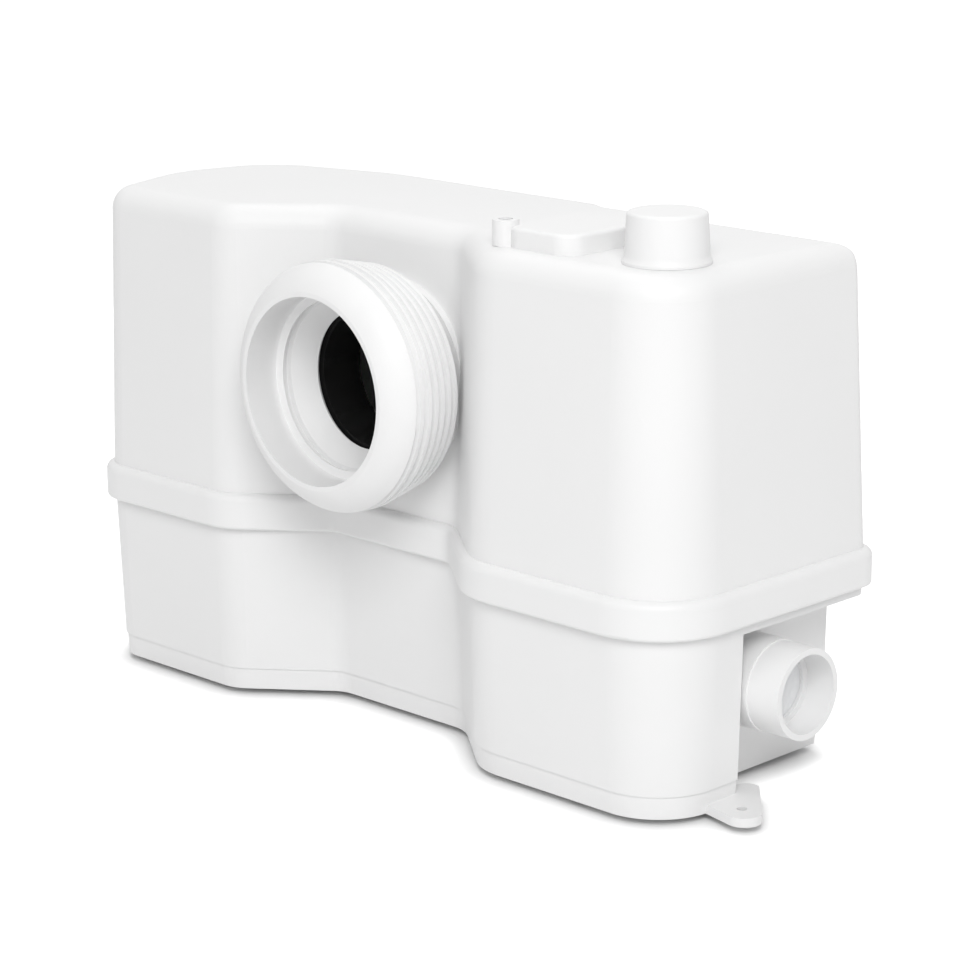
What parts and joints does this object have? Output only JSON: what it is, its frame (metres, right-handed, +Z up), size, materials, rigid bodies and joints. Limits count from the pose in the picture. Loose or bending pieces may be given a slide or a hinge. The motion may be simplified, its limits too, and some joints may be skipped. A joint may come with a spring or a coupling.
{
  "type": "macerator toilet pump",
  "caption": "Floor standing macerator toilet pump with a ribbed rubber toilet inlet, side and top inlets, and a motor over a cutter pump inside.",
  "frame": {"origin": "middle of the overall box at floor level", "axes": "+X towards the end with the side inlet, -Y towards the toilet, +Z up"},
  "size_m": [0.4522, 0.1764, 0.287],
  "materials": {
    "white_plastic": "satin",
    "white_rubber": "satin",
    "grey_plastic": "matte",
    "black_rubber": "matte",
    "steel": "satin",
    "aluminium": "cast",
    "copper": "lacquered",
    "green_board": "matte",
    "filter_felt": "matte"
  },
  "bodies": {
    "case": {"base_pads": "black_rubber", "bearing_plate": "aluminium", "cable_gland": "grey_plastic", "can_screws": "steel", "cap_seal": "black_rubber", "capacitor": "grey_plastic", "control_board": "green_board", "control_box": "grey_plastic", "cutter_ring": "steel", "dip_tube": "grey_plastic", "discharge_pipe": "grey_plastic", "gland_nut": "grey_plastic", "inlet_liner": "black_rubber", "inlet_port": "white_plastic", "inlet_sleeve": "white_rubber", "lower_bearing": "steel", "lower_tank": "white_plastic", "motor_can": "steel", "motor_damper": "black_rubber", "motor_lid": "aluminium", "outlet_grommet": "black_rubber", "outlet_spigot": "grey_plastic", "pipe_seal": "black_rubber", "pressure_switch": "grey_plastic", "pump_feet": "black_rubber", "pump_screws": "steel", "seam_screws": "steel", "seam_seal": "black_rubber", "service_seal": "black_rubber", "shaft_seal": "black_rubber", "side_flap_pin": "steel", "side_inlet_nut": "grey_plastic", "side_inlet_seal": "black_rubber", "side_inlet_spigot": "white_plastic", "stator_core": "steel", "stator_windings": "copper", "switch_lid": "grey_plastic", "top_inlet_stub": "white_plastic", "upper_bearing": "steel", "upper_cover": "white_plastic", "valve_body": "grey_plastic", "valve_pin": "steel", "vent_filter": "filter_felt", "volute_housing": "grey_plastic"},
    "rotor": {"motor_shaft": "steel", "rotor_core": "steel", "impeller": "grey_plastic", "cutter_head": "steel", "cutter_nut": "steel"},
    "inlet_flap": {"side_flap": "grey_plastic"},
    "discharge_flap": {"valve_flap": "black_rubber"},
    "plunger": {"switch_plunger": "grey_plastic"},
    "cap": {"top_cap": "white_plastic"},
    "service_lid": {"service_cover": "white_plastic", "service_screw": "steel"}
  },
  "joints": [
    {"name": "rotor_spin", "type": "hinge", "parent": "case", "child": "rotor", "pos_m": [0.07, 0.02, 0.1], "axis": [0, 0, 1], "continuous": true},
    {"name": "side_flap_swing", "type": "hinge", "parent": "case", "child": "inlet_flap", "pos_m": [0.20095, 0.0126, 0.0718], "axis": [0, 1, 0], "range_deg": [0, 40]},
    {"name": "discharge_flap_swing", "type": "hinge", "parent": "case", "child": "discharge_flap", "pos_m": [0.1314, 0.008, 0.20305], "axis": [0, -1, 0], "range_deg": [0, 60]},
    {"name": "plunger_lift", "type": "slide", "parent": "case", "child": "plunger", "axis": [0, 0, 1], "range_m": [0, 0.0025], "stiffness_N_per_m": 150},
    {"name": "cap_pull", "type": "slide", "parent": "case", "child": "cap", "axis": [0, 0, 1], "range_m": [0, 0.03]},
    {"name": "service_cover_lift", "type": "slide", "parent": "case", "child": "service_lid", "axis": [0, 0, 1], "range_m": [0, 0.03]}
  ]
}
